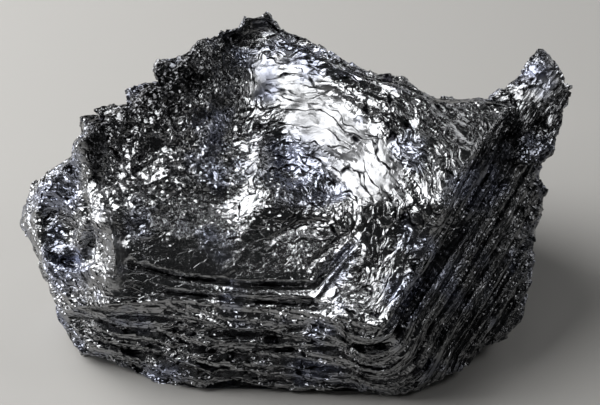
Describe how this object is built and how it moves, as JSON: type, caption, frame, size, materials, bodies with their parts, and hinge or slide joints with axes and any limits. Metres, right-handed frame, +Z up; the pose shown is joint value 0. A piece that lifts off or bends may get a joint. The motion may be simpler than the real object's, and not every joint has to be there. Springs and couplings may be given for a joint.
{
  "type": "molybdenite specimen",
  "caption": "Wedge-shaped hand specimen of lead-grey metallic ore: a bent book of sheets with a bright cleavage face, ledged broken edges and a horn at one end.",
  "frame": {"origin": "centre of the bounding box's underside, on the surface the stone rests on", "axes": "+X along the stone towards the horn, +Y away from the viewer of the ledged front, +Z up"},
  "size_m": [0.0752, 0.0498, 0.0384],
  "materials": {
    "ore": "bright lead-grey metallic lustre, cleavage sheets like crumpled foil, sparkling broken edges"
  },
  "bodies": {
    "root": {"molybdenite": "ore"}
  },
  "joints": []
}
